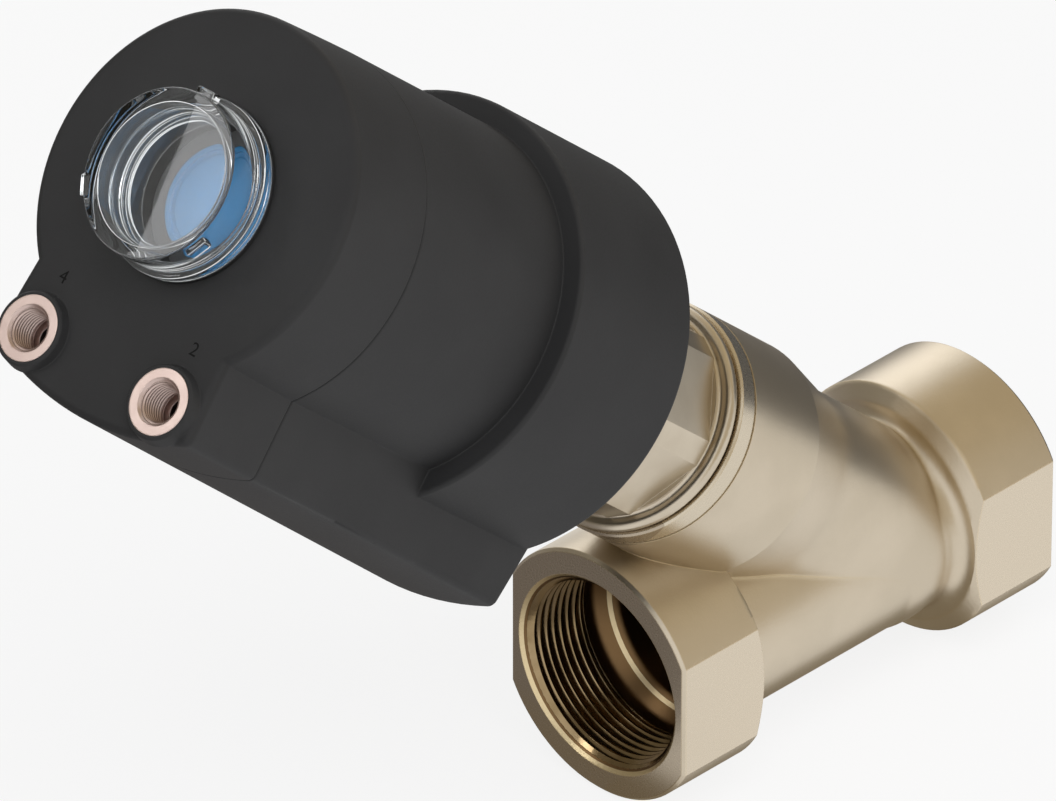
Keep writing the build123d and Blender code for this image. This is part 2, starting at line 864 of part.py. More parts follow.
saddle = channel_saddle()
save("actuator_housing", make_housing(saddle))
save("actuator_cover", make_cover(saddle))
bush_outer = bonnet_spigot_radius + bearing_wall
bearing_low = actuator_low - boss_drop + cover_seal_radius * 2
bush_inner = bonnet_spigot_radius + running
bearing_top = floor_top - retainer_from_top - free
save("bearing_bush", ring(bush_inner, bush_outer, bearing_low, bearing_top))
save("tube_seal", ring(bush_inner, bush_outer, actuator_low - boss_drop + free, bearing_low))
torus = Pos(0, 0, cover_groove_height) * Torus(spigot_radius - cover_seal_radius, cover_seal_radius - running)
save("cover_seal", torus)
for name, side in (("2", port_side), ("4", -port_side)):
    save(f"port_insert_{name}", make_insert(side))
    seal_low = insert_low - port_seal_thickness
    seal = ring(air_hole_radius + running, insert_radius - running, seal_low, insert_low)
    save(f"port_seal_{name}", Pos(side, -port_drop, 0) * seal)
save("indicator_dome", make_dome())
dome_low = face_height + dome_seal_thickness
save("dome_seal", ring(well_radius + loose, dome_flange_radius, face_height, dome_low))
save("indicator_guide", ring(
    indicator_radius + free,
    well_radius - running,
    well_floor_height,
    well_floor_height + indicator_guide_height,
))
save("closing_spring", make_spring())
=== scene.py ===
import json
import math

import bpy
from mathutils import Matrix, Vector


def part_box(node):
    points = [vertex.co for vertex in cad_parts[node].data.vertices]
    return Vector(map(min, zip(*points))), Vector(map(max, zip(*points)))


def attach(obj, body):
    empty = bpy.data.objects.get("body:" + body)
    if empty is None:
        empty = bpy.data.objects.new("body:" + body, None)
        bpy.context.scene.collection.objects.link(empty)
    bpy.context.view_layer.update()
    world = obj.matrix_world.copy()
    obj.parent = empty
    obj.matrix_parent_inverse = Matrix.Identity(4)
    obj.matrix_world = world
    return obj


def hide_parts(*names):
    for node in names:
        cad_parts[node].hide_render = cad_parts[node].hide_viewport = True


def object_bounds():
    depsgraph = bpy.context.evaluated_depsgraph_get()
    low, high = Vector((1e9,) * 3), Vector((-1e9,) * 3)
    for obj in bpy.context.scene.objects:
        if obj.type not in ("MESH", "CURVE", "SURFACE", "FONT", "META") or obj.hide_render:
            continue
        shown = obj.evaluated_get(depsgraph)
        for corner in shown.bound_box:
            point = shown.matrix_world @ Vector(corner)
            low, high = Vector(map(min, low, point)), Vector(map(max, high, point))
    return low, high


# Looks of an angle seat valve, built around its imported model
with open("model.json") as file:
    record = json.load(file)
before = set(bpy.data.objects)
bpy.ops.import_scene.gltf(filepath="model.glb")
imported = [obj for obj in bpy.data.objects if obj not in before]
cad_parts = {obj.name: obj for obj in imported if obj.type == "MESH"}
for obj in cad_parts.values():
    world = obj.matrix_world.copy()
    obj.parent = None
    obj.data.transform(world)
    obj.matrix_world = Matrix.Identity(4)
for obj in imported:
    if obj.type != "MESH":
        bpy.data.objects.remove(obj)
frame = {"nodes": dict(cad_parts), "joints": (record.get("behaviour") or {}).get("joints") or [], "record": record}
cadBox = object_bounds()
nodes = frame["nodes"]
mounts = {mount["name"]: mount for mount in frame["record"]["mounts"]}
swivel = next(joint for joint in frame["joints"] if joint["name"] == "actuator_swivel")
mm = 0.001

# The stem's own axes: across, up the slope and along the stem
crossing = Vector(swivel["pos_m"])
along = Vector(swivel["axis"]).normalized()
across = Vector((0, -1, 0))
upSlope = along.cross(across)


def placeMatrix(origin, xAxis, yAxis, zAxis):
    matrix = Matrix((xAxis, yAxis, zAxis)).transposed().to_4x4()
    matrix.translation = origin
    return matrix


stemMatrix = placeMatrix(crossing, across, upSlope, along)
frontMatrix = placeMatrix(
    Vector((0, 0, 0)), Vector((0, 1, 0)), Vector((0, 0, 1)), Vector((1, 0, 0))
)
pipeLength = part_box("valve_body")[1].x
rearMatrix = placeMatrix(
    Vector((pipeLength, 0, 0)), Vector((0, 0, 1)), Vector((0, 1, 0)), Vector((-1, 0, 0))
)
print("frame loaded")


def heightsOf(node):
    heights = [(vertex.co - crossing).dot(along) for vertex in nodes[node].data.vertices]
    return min(heights), max(heights)


faceHeight = heightsOf("dome_seal")[0]


# Modelling helpers
def startPiece():
    if bpy.context.object and bpy.context.object.mode != "OBJECT":
        bpy.ops.object.mode_set(mode="OBJECT")
    bpy.ops.object.select_all(action="DESELECT")


def selectVertices(piece, chosen):
    bpy.ops.object.mode_set(mode="EDIT")
    bpy.ops.mesh.select_mode(type="VERT")
    bpy.ops.mesh.select_all(action="DESELECT")
    bpy.ops.object.mode_set(mode="OBJECT")
    for vertex in piece.data.vertices:
        vertex.select = chosen(vertex.co)
    bpy.ops.object.mode_set(mode="EDIT")


def finishPiece(piece, name, matrix, body, material, smooth=35):
    startPiece()
    piece.select_set(True)
    bpy.context.view_layer.objects.active = piece
    bpy.ops.object.transform_apply(location=True, rotation=True, scale=True)
    piece.data.transform(matrix)
    bpy.ops.object.shade_smooth_by_angle(angle=math.radians(smooth))
    piece.name = name
    piece.data.name = name
    piece.data.materials.clear()
    piece.data.materials.append(material)
    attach(piece, body)


# Node helpers
def newMaterial(name):
    material = bpy.data.materials.new(name)
    material.use_nodes = True
    tree = material.node_tree
    return material, tree, tree.nodes["Principled BSDF"]


def addNode(tree, kind, **settings):
    node = tree.nodes.new(kind)
    for name, setting in settings.items():
        setattr(node, name, setting)
    return node


def feed(tree, socket, value):
    if isinstance(value, bpy.types.NodeSocket):
        tree.links.new(value, socket)
    else:
        socket.default_value = value


def calculate(tree, operation, first, second=0.0, clamp=False):
    node = addNode(tree, "ShaderNodeMath", operation=operation, use_clamp=clamp)
    feed(tree, node.inputs[0], first)
    feed(tree, node.inputs[1], second)
    return node.outputs[0]


def above(tree, value, limit):
    return calculate(tree, "GREATER_THAN", value, limit)


def below(tree, value, limit):
    return calculate(tree, "LESS_THAN", value, limit)


def both(tree, first, second):
    return calculate(tree, "MULTIPLY", first, second)


def either(tree, first, *others):
    for other in others:
        first = calculate(tree, "MAXIMUM", first, other)
    return first


def rampBetween(tree, value, low, high):
    node = addNode(tree, "ShaderNodeMapRange", interpolation_type="SMOOTHSTEP")
    feed(tree, node.inputs["Value"], value)
    feed(tree, node.inputs["From Min"], low)
    feed(tree, node.inputs["From Max"], high)
    return node.outputs["Result"]


def mixNumber(tree, factor, first, second):
    node = addNode(tree, "ShaderNodeMix", data_type="FLOAT")
    feed(tree, node.inputs[0], factor)
    feed(tree, node.inputs[2], first)
    feed(tree, node.inputs[3], second)
    return node.outputs[0]


def mixColour(tree, factor, first, second):
    node = addNode(tree, "ShaderNodeMix", data_type="RGBA")
    feed(tree, node.inputs[0], factor)
    feed(tree, node.inputs[6], first)
    feed(tree, node.inputs[7], second)
    return node.outputs[2]


def objectPoint(tree):
    return addNode(tree, "ShaderNodeTexCoord").outputs["Object"]


def pointIn(tree, matrix):
    toLocal = matrix.inverted()
    node = addNode(tree, "ShaderNodeMapping", vector_type="POINT")
    node.inputs["Location"].default_value = toLocal.translation
    node.inputs["Rotation"].default_value = toLocal.to_euler("XYZ")
    tree.links.new(objectPoint(tree), node.inputs["Vector"])
    return node.outputs["Vector"]


def partsOf(tree, vector):
    node = addNode(tree, "ShaderNodeSeparateXYZ")
    tree.links.new(vector, node.inputs[0])
    return node.outputs


def radialPart(tree, x, y):
    xSquared = calculate(tree, "MULTIPLY", x, x)
    ySquared = calculate(tree, "MULTIPLY", y, y)
    return calculate(tree, "SQRT", calculate(tree, "ADD", xSquared, ySquared))


def bumpFrom(tree, height, bump, normal=None):
    strength, distance = bump
    node = addNode(tree, "ShaderNodeBump")
    node.inputs["Strength"].default_value = strength
    node.inputs["Distance"].default_value = distance
    tree.links.new(height, node.inputs["Height"])
    if normal is not None:
        tree.links.new(normal, node.inputs["Normal"])
    return node.outputs["Normal"]


# Shared effects
def newGroup(name, inputs, outputs):
    group = bpy.data.node_groups.new(name, "ShaderNodeTree")
    for label, kind, start in inputs:
        socket = group.interface.new_socket(label, in_out="INPUT", socket_type=kind)
        if start is not None:
            socket.default_value = start
    for label, kind in outputs:
        group.interface.new_socket(label, in_out="OUTPUT", socket_type=kind)
    entry = group.nodes.new("NodeGroupInput")
    result = group.nodes.new("NodeGroupOutput")
    return group, entry.outputs, result.inputs


def makeGrainGroup():
    group, entry, result = newGroup(
        "surfaceGrain",
        [
            ("Vector", "NodeSocketVector", None),
            ("Fine Scale", "NodeSocketFloat", 1800.0),
            ("Patch Scale", "NodeSocketFloat", 60.0),
        ],
        [("Height", "NodeSocketFloat"), ("Patches", "NodeSocketFloat")],
    )
    fine = addNode(group, "ShaderNodeTexNoise")
    fine.inputs["Detail"].default_value = 3.0
    fine.inputs["Roughness"].default_value = 0.65
    patches = addNode(group, "ShaderNodeTexNoise")
    patches.inputs["Detail"].default_value = 4.0
    for node, scale in ((fine, "Fine Scale"), (patches, "Patch Scale")):
        group.links.new(entry["Vector"], node.inputs["Vector"])
        group.links.new(entry[scale], node.inputs["Scale"])
    group.links.new(fine.outputs[0], result["Height"])
    group.links.new(patches.outputs[0], result["Patches"])
    return group


# the edge mask paints highlights on edges and creases; the bevelled normal rounds them
def makeEdgeGroup():
    group, entry, result = newGroup(
        "softEdge",
        [("Radius", "NodeSocketFloat", 0.0006), ("Gain", "NodeSocketFloat", 6.0)],
        [("Normal", "NodeSocketVector"), ("Edge", "NodeSocketFloat")],
    )
    bevel = addNode(group, "ShaderNodeBevel", samples=6)
    group.links.new(entry["Radius"], bevel.inputs["Radius"])
    plain = addNode(group, "ShaderNodeNewGeometry")
    turn = addNode(group, "ShaderNodeVectorMath", operation="DOT_PRODUCT")
    group.links.new(bevel.outputs["Normal"], turn.inputs[0])
    group.links.new(plain.outputs["Normal"], turn.inputs[1])
    away = calculate(group, "SUBTRACT", 1.0, turn.outputs["Value"])
    edge = calculate(group, "MULTIPLY", away, entry["Gain"], clamp=True)
    group.links.new(bevel.outputs["Normal"], result["Normal"])
    group.links.new(edge, result["Edge"])
    return group


def makeTurningGroup():
    group, entry, result = newGroup(
        "turningMarks",
        [("Vector", "NodeSocketVector", None), ("Scale", "NodeSocketFloat", 4000.0)],
        [
            ("Height", "NodeSocketFloat"),
            ("Radius", "NodeSocketFloat"),
            ("Depth", "NodeSocketFloat"),
        ],
    )
    x, y, z = partsOf(group, entry["Vector"])
    radius = radialPart(group, x, y)
    reach = calculate(group, "ADD", radius, z)
    lines = addNode(group, "ShaderNodeTexNoise", noise_dimensions="1D")
    lines.inputs["Detail"].default_value = 2.0
    group.links.new(reach, lines.inputs["W"])
    group.links.new(entry["Scale"], lines.inputs["Scale"])
    group.links.new(lines.outputs[0], result["Height"])
    group.links.new(radius, result["Radius"])
    group.links.new(z, result["Depth"])
    return group


grainGroup = makeGrainGroup()
edgeGroup = makeEdgeGroup()
turningGroup = makeTurningGroup()


def useGroup(tree, group, **values):
    node = addNode(tree, "ShaderNodeGroup", node_tree=group)
    for name, value in values.items():
        feed(tree, node.inputs[name.replace("_", " ")], value)
    return node.outputs


print("shared effects ready")

# Cast and machined body
castBody = {
    "light": (0.66, 0.575, 0.45, 1),
    "deep": (0.61, 0.53, 0.41, 1),
    # painted shade: the end faces are a darker tone, partly their machined finish and partly the shaded floor they
    # mirror
    "ends": (0.46, 0.39, 0.30, 1),
    # painted reflection: the flats are a lighter tone, partly their machined finish and partly the bright floor
    # they mirror
    "flats": (0.70, 0.61, 0.48, 1),
    "band": (0.66, 0.58, 0.455, 1),
    # painted highlight: bright gold on the mouth's chamfer and on the seat ring in the bore
    "mouth": (0.76, 0.62, 0.38, 1),
    # painted shade: dark brown in the bore and the passage inside the pipe
    "bore": (0.20, 0.12, 0.055, 1),
    # painted highlight: edges and creases are painted towards this gold
    "gold": (0.66, 0.50, 0.25, 1),
    "creaseRadius": 1.7 * mm,
    "edgeRadius": 0.35 * mm,
    "edgeGain": 5.0,
    "goldHighlightShare": 0.6,
    "softTo": 60.0 * mm,
    "endDepth": 0.1 * mm,
    "rimLength": 3.0 * mm,
    "boreLength": 25.0 * mm,
    "seatRingLength": 27.0 * mm,
    "flatsFrom": 27.35 * mm,
    "besideFlats": 1.5 * mm,
    "hubHeight": 32.0 * mm,
    "boreTo": 24.85 * mm,
    "threadTo": 24.0 * mm,
    "insideTo": 21.0 * mm,
    "bandFrom": 90.9 * mm,
    "grain": 1500.0,
    "grainPatches": 45.0,
    "flatsGrain": 1900.0,
    "turning": 2600.0,
    "patches": (0.35, 0.65),
    "castRoughness": 0.35,
    "machinedRoughness": 0.27,
    "smoother": 0.05,
    "rougher": 0.07,
    "castBump": (0.30, 0.12 * mm),
    "machinedBump": (0.06, 0.05 * mm),
}


def castZones(tree, point, pipeRadius, stemDepth, values):
    # a mask for each zone of the casting, 1 within it and 0 outside
    x, y, z = partsOf(tree, point)
    fromMiddle = calculate(tree, "ABSOLUTE", calculate(tree, "SUBTRACT", x, pipeLength / 2))
    aside = calculate(tree, "ABSOLUTE", y)
    onHub = below(tree, z, values["hubHeight"])
    ends = above(tree, fromMiddle, pipeLength / 2 - values["endDepth"])
    rims = above(tree, fromMiddle, pipeLength / 2 - values["rimLength"])
    nearEnd = above(tree, fromMiddle, pipeLength / 2 - values["boreLength"])
    nearRing = above(tree, fromMiddle, pipeLength / 2 - values["seatRingLength"])
    flats = both(tree, above(tree, aside, values["flatsFrom"]), onHub)
    besideFlats = above(tree, aside, values["flatsFrom"] - values["besideFlats"])
    band = above(tree, stemDepth, values["bandFrom"])
    onNeck = above(tree, stemDepth, values["softTo"])
    inThread = below(tree, pipeRadius, values["threadTo"])
    inMouth = both(tree, below(tree, pipeRadius, values["boreTo"]), rims)
    seatRing = both(tree, inThread, calculate(tree, "SUBTRACT", nearRing, nearEnd))
    inside = below(tree, pipeRadius, values["insideTo"])
    return {
        "ends": ends,
        "flats": flats,
        "band": band,
        "machined": either(tree, ends, flats, band),
        "mouth": either(tree, inMouth, seatRing),
        "bore": either(tree, both(tree, inThread, nearEnd), inside),
        "crisp": either(tree, rims, onNeck, both(tree, besideFlats, onHub)),
    }


def makeCastBody(name, values):
    material, tree, shader = newMaterial(name)
    point = objectPoint(tree)
    grain = useGroup(
        tree,
        grainGroup,
        Vector=point,
        Fine_Scale=values["grain"],
        Patch_Scale=values["grainPatches"],
    )
    onFlats = useGroup(tree, grainGroup, Vector=point, Fine_Scale=values["flatsGrain"])
    pipe, stem = (
        useGroup(tree, turningGroup, Vector=pointIn(tree, matrix), Scale=values["turning"])
        for matrix in (frontMatrix, stemMatrix)
    )
    zones = castZones(tree, point, pipe["Radius"], stem["Depth"], values)
    radius = mixNumber(tree, zones["crisp"], values["creaseRadius"], values["edgeRadius"])
    edge = useGroup(tree, edgeGroup, Radius=radius, Gain=values["edgeGain"])
    patches = rampBetween(tree, grain["Patches"], *values["patches"])
    colour = mixColour(tree, patches, values["deep"], values["light"])
    # the end faces take painted shade and the flats a painted reflection, each over a partly real machined tone
    for zone in ("band", "flats", "ends"):
        colour = mixColour(tree, zones[zone], colour, values[zone])
    # painted highlight: gold along edges and creases, by the edge mask
    goldEdgeHighlight = calculate(tree, "MULTIPLY", edge["Edge"], values["goldHighlightShare"])
    colour = mixColour(tree, goldEdgeHighlight, colour, values["gold"])
    # painted highlight in bright gold on the mouths, painted shade in dark brown inside the bores
    for zone in ("mouth", "bore"):
        colour = mixColour(tree, zones[zone], colour, values[zone])
    feed(tree, shader.inputs["Base Color"], colour)
    shader.inputs["Metallic"].default_value = 1.0
    rough = mixNumber(tree, zones["machined"], values["castRoughness"], values["machinedRoughness"])
    smoother = calculate(tree, "SUBTRACT", rough, values["smoother"])
    rougher = calculate(tree, "ADD", rough, values["rougher"])
    feed(tree, shader.inputs["Roughness"], mixNumber(tree, grain["Height"], smoother, rougher))
    lines = mixNumber(tree, zones["band"], pipe["Height"], stem["Height"])
    lines = mixNumber(tree, zones["flats"], lines, onFlats["Height"])
    castNormal = bumpFrom(tree, grain["Height"], values["castBump"], edge["Normal"])
    lineNormal = bumpFrom(tree, lines, values["machinedBump"], edge["Normal"])
    normals = addNode(tree, "ShaderNodeMix", data_type="VECTOR")
    feed(tree, normals.inputs[0], either(tree, zones["machined"], zones["bore"]))
    feed(tree, normals.inputs[4], castNormal)
    feed(tree, normals.inputs[5], lineNormal)
    feed(tree, shader.inputs["Normal"], normals.outputs[1])
    return material


# Turned metal, for the bonnet, the stem's pieces, the inserts and the threads
turnedFinish = {
    "grainPatches": 110.0,
    "patches": (0.3, 0.7),
    "edgeGain": 4.0,
    # painted highlight: share of the edge mask that paints edges in the light tone
    "edgeHighlightShare": 0.5,
    "smoother": 0.05,
    "rougher": 0.07,
    "bump": (0.15, 0.03 * mm),
}
turnedSteel = {
    "light": (0.64, 0.565, 0.45, 1),
    "deep": (0.59, 0.515, 0.405, 1),
    "roughness": 0.30,
    "edgeRadius": 0.25 * mm,
    "turning": 5000.0,
}
springSteel = {
    "light": (0.42, 0.42, 0.43, 1),
    "deep": (0.22, 0.22, 0.24, 1),
    "roughness": 0.38,
    "edgeRadius": 0.3 * mm,
    "turning": 900.0,
}
# painted shade: the threads are a darker gold than the body, for the shade inside the bore
threadMetal = {
    "light": (0.40, 0.295, 0.165, 1),
    "deep": (0.27, 0.19, 0.095, 1),
    "roughness": 0.16,
    "edgeRadius": 0.12 * mm,
    "turning": 5000.0,
}
insertMetal = {
    "light": (0.68, 0.545, 0.50, 1),
    "deep": (0.60, 0.47, 0.43, 1),
    "roughness": 0.36,
    "edgeRadius": 0.35 * mm,
    "turning": 5000.0,
}


def makeTurnedMetal(name, values, matrix):
    finish = turnedFinish
    material, tree, shader = newMaterial(name)
    point = pointIn(tree, matrix)
    turning = useGroup(tree, turningGroup, Vector=point, Scale=values["turning"])
    grain = useGroup(tree, grainGroup, Vector=point, Patch_Scale=finish["grainPatches"])
    edge = useGroup(tree, edgeGroup, Radius=values["edgeRadius"], Gain=finish["edgeGain"])
    patches = rampBetween(tree, grain["Patches"], *finish["patches"])
    colour = mixColour(tree, patches, values["deep"], values["light"])
    # painted highlight: edges turn towards the light tone
    turnedEdgeHighlight = calculate(tree, "MULTIPLY", edge["Edge"], finish["edgeHighlightShare"])
    colour = mixColour(tree, turnedEdgeHighlight, colour, values["light"])
    feed(tree, shader.inputs["Base Color"], colour)
    shader.inputs["Metallic"].default_value = 1.0
    smoother = values["roughness"] - finish["smoother"]
    rougher = values["roughness"] + finish["rougher"]
    feed(tree, shader.inputs["Roughness"], mixNumber(tree, turning["Height"], smoother, rougher))
    normal = bumpFrom(tree, turning["Height"], finish["bump"], edge["Normal"])
    feed(tree, shader.inputs["Normal"], normal)
    return material


# Moulded plastic, seals and gaskets
mouldedFinish = {
    "grainPatches": 35.0,
    "patches": (0.3, 0.7),
    "edgeGain": 3.0,
    # painted highlight: share of the edge mask that paints the "edge" colour
    "edgeHighlightShare": 0.7,
    "smoother": 0.08,
    "rougher": 0.10,
    "bump": (0.30, 0.06 * mm),
}
# in each of these finishes, "edge" is a lighter colour painted along the edges as a highlight
actuatorPlastic = {
    "light": (0.031, 0.031, 0.032, 1),
    "deep": (0.026, 0.026, 0.027, 1),
    "edge": (0.050, 0.050, 0.051, 1),
    "roughness": 0.55,
    "shine": 0.25,
    "edgeRadius": 0.6 * mm,
    "grain": 2300.0,
}
greyPlastic = {
    "light": (0.17, 0.17, 0.175, 1),
    "deep": (0.125, 0.125, 0.13, 1),
    "edge": (0.30, 0.30, 0.31, 1),
    "roughness": 0.42,
    "shine": 0.5,
    "edgeRadius": 0.4 * mm,
    "grain": 3200.0,
}
indicatorBlue = {
    "light": (0.018, 0.27, 0.62, 1),
    "deep": (0.014, 0.245, 0.57, 1),
    "edge": (0.035, 0.33, 0.70, 1),
    "roughness": 0.16,
    "shine": 1.0,
    "edgeRadius": 0.4 * mm,
    "grain": 3600.0,
}
sealPlastic = {
    "light": (0.84, 0.83, 0.80, 1),
    "deep": (0.74, 0.73, 0.69, 1),
    "edge": (0.92, 0.91, 0.88, 1),
    "roughness": 0.40,
    "shine": 0.5,
    "edgeRadius": 0.3 * mm,
    "grain": 2800.0,
}
sealRubber = {
    "light": (0.022, 0.022, 0.023, 1),
    "deep": (0.012, 0.012, 0.013, 1),
    "edge": (0.05, 0.05, 0.052, 1),
    "roughness": 0.62,
    "shine": 0.3,
    "edgeRadius": 0.3 * mm,
    "grain": 4200.0,
}
graphite = {
    "light": (0.075, 0.075, 0.078, 1),
    "deep": (0.040, 0.040, 0.042, 1),
    "edge": (0.13, 0.13, 0.135, 1),
    "roughness": 0.48,
    "shine": 0.5,
    "edgeRadius": 0.2 * mm,
    "grain": 5200.0,
}


def makeMoulded(name, values):
    finish = mouldedFinish
    material, tree, shader = newMaterial(name)
    grain = useGroup(
        tree,
        grainGroup,
        Vector=objectPoint(tree),
        Fine_Scale=values["grain"],
        Patch_Scale=finish["grainPatches"],
    )
    edge = useGroup(tree, edgeGroup, Radius=values["edgeRadius"], Gain=finish["edgeGain"])
    patches = rampBetween(tree, grain["Patches"], *finish["patches"])
    colour = mixColour(tree, patches, values["deep"], values["light"])
    # painted highlight: edges turn towards the "edge" colour
    mouldedEdgeHighlight = calculate(tree, "MULTIPLY", edge["Edge"], finish["edgeHighlightShare"])
    colour = mixColour(tree, mouldedEdgeHighlight, colour, values["edge"])
    feed(tree, shader.inputs["Base Color"], colour)
    shader.inputs["Specular IOR Level"].default_value = values["shine"]
    smoother = values["roughness"] - finish["smoother"]
    rougher = values["roughness"] + finish["rougher"]
    feed(tree, shader.inputs["Roughness"], mixNumber(tree, grain["Height"], smoother, rougher))
    normal = bumpFrom(tree, grain["Height"], finish["bump"], edge["Normal"])
    feed(tree, shader.inputs["Normal"], normal)
    return material


# Clear plastic of the dome
clearDome = {
    "colour": (0.96, 0.98, 0.985, 1),
    "bending": 1.49,
    "roughness": 0.012,
    "dusty": 0.03,
    "grainPatches": 50.0,
    "dustyPatches": (0.55, 0.85),
    "bump": (0.005, 0.1 * mm),
}


def makeClearDome(name, values):
    material, tree, shader = newMaterial(name)
    grain = useGroup(
        tree, grainGroup, Vector=objectPoint(tree), Patch_Scale=values["grainPatches"]
    )
    shader.inputs["Transmission Weight"].default_value = 1.0
    shader.inputs["IOR"].default_value = values["bending"]
    shader.inputs["Base Color"].default_value = values["colour"]
    haze = rampBetween(tree, grain["Patches"], *values["dustyPatches"])
    rough = mixNumber(tree, haze, values["roughness"], values["dusty"])
    feed(tree, shader.inputs["Roughness"], rough)
    feed(tree, shader.inputs["Normal"], bumpFrom(tree, grain["Patches"], values["bump"]))
    return material


# Printed digits
printedInk = {
    "colour": (0.003, 0.003, 0.003, 1),
    "worn": (0.006, 0.006, 0.006, 1),
    "shine": 0.1,
    "roughness": (0.4, 0.55),
    "grain": 3000.0,
    "grainPatches": 700.0,
}


def makeInk(name, values):
    material, tree, shader = newMaterial(name)
    grain = useGroup(
        tree,
        grainGroup,
        Vector=objectPoint(tree),
        Fine_Scale=values["grain"],
        Patch_Scale=values["grainPatches"],
    )
    colour = mixColour(tree, grain["Patches"], values["colour"], values["worn"])
    feed(tree, shader.inputs["Base Color"], colour)
    shader.inputs["Specular IOR Level"].default_value = values["shine"]
    feed(tree, shader.inputs["Roughness"], mixNumber(tree, grain["Height"], *values["roughness"]))
    return material


materials = {
    "cast_body": makeCastBody("castBody", castBody),
    "turned_steel": makeTurnedMetal("turnedSteel", turnedSteel, stemMatrix),
    "spring_steel": makeTurnedMetal("springSteel", springSteel, stemMatrix),
    "graphite": makeMoulded("graphite", graphite),
    "ptfe": makeMoulded("sealPlastic", sealPlastic),
    "seal_rubber": makeMoulded("sealRubber", sealRubber),
    "actuator_plastic": makeMoulded("actuatorPlastic", actuatorPlastic),
    "insert_metal": makeTurnedMetal("insertMetal", insertMetal, stemMatrix),
    "clear_dome": makeClearDome("clearDome", clearDome),
    "grey_plastic": makeMoulded("greyPlastic", greyPlastic),
    "indicator_blue": makeMoulded("indicatorBlue", indicatorBlue),
}
for part in frame["record"]["subparts"]:
    piece = nodes[part["node"]]
    piece.data.materials.clear()
    piece.data.materials.append(materials[part["material_slot"]])

# Threads
pipeThread = {
    "pitch": 2.209 * mm,
    "height": 1.25 * mm,
    "crestShare": 0.22,
    "rootShare": 0.95,
    "sink": 0.1 * mm,
    "runOut": 1.6,
    "steps": 96,
    "mouthOver": 2 * mm,
}
airThread = {
    "pitch": 0.907 * mm,
    "height": 0.52 * mm,
    "crestShare": 0.2,
    "rootShare": 0.94,
    "sink": 0.06 * mm,
    "runOut": 1.6,
    "steps": 48,
    "mouthOver": 2 * mm,
}
coneSteps = 96


def makeThread(values, mount):
    wall = mount["dims"]["r_mm"] * mm
    length = mount["dims"]["length_mm"] * mm
    turns = int(length / values["pitch"])
    outer = wall + values["sink"]
    inner = wall - values["height"]
    startPiece()
    bpy.ops.mesh.primitive_plane_add(size=1, rotation=(math.pi / 2, 0, 0))
    piece = bpy.context.object
    bpy.ops.object.transform_apply(location=True, rotation=True, scale=True)
    selectVertices(piece, lambda place: True)
    rootWidth = values["pitch"] * values["rootShare"]
    bpy.ops.transform.resize(value=(outer - inner, 1, rootWidth), center_override=(0, 0, 0))
    bpy.ops.transform.translate(value=((outer + inner) / 2, 0, 0))
    selectVertices(piece, lambda place: place.x < (outer + inner) / 2)
    bpy.ops.transform.resize(value=(1, 1, values["crestShare"]), center_override=(inner, 0, 0))
    bpy.ops.object.mode_set(mode="OBJECT")
    screw = piece.modifiers.new("turns", "SCREW")
    screw.axis = "Z"
    screw.screw_offset = values["pitch"]
    screw.iterations = turns + 2
    screw.steps = values["steps"]
    screw.render_steps = values["steps"]
    bpy.ops.object.modifier_apply(modifier="turns")
    bpy.ops.object.mode_set(mode="EDIT")
    bpy.ops.mesh.select_all(action="SELECT")
    bpy.ops.mesh.remove_doubles(threshold=0.001 * mm)
    bpy.ops.mesh.select_all(action="DESELECT")
    bpy.ops.mesh.select_mode(type="EDGE")
    bpy.ops.mesh.select_non_manifold()
    bpy.ops.mesh.fill_holes(sides=0)
    bpy.ops.mesh.select_all(action="SELECT")
    bpy.ops.mesh.normals_make_consistent(inside=False)
    bpy.ops.object.mode_set(mode="OBJECT")
    return piece


def cutCone(piece, lowRadius, highRadius, low, high):
    startPiece()
    bpy.ops.mesh.primitive_cone_add(
        vertices=coneSteps,
        radius1=lowRadius,
        radius2=highRadius,
        depth=high - low,
        location=(0, 0, (low + high) / 2),
    )
    cone = bpy.context.object
    cut = piece.modifiers.new("cut", "BOOLEAN")
    cut.object = cone
    cut.operation = "DIFFERENCE"
    bpy.context.view_layer.objects.active = piece
    bpy.ops.object.modifier_apply(modifier="cut")
    bpy.data.objects.remove(cone)


def trimThread(piece, values, mount, matrix):
    # the mouth's chamfer cuts the first turns, and the last ones run out into the wall
    start = abs((Vector(mount["pos_m"]) - matrix.translation).dot(matrix.col[2].to_3d()))
    wall = mount["dims"]["r_mm"] * mm
    mouthRadius = wall + start
    over = values["mouthOver"]
    cutCone(piece, mouthRadius + over, 0, -over, mouthRadius)
    reach = values["runOut"] * values["pitch"]
    rise = (values["height"] + 2 * values["sink"]) / reach
    high = start + mount["dims"]["length_mm"] * mm
    over = 4 * values["pitch"]
    lowRadius = wall - values["height"] - values["sink"]
    cutCone(piece, lowRadius, lowRadius + rise * (reach + over), high - reach, high + over)
    return piece


threadMaterial = makeTurnedMetal("threadMetal", threadMetal, frontMatrix)
for name, mountName, matrix in (
    ("front_pipe_thread", "port_front", frontMatrix),
    ("rear_pipe_thread", "port_rear", rearMatrix),
):
    mount = mounts[mountName]
    piece = trimThread(makeThread(pipeThread, mount), pipeThread, mount, matrix)
    finishPiece(piece, name, matrix, "valve", threadMaterial)

for digit in ("2", "4"):
    mount = mounts[f"air_port_{digit}"]
    faceOfInsert = heightsOf(f"port_insert_{digit}")[1]
    place = Vector(mount["pos_m"])
    place += along * (faceOfInsert - (place - crossing).dot(along))
    matrix = placeMatrix(place, across, -upSlope, -along)
    name = f"air_thread_{digit}"
    piece = trimThread(makeThread(airThread, mount), airThread, mount, matrix)
    finishPiece(piece, name, matrix, "actuator", materials["insert_metal"])
print("threads made")

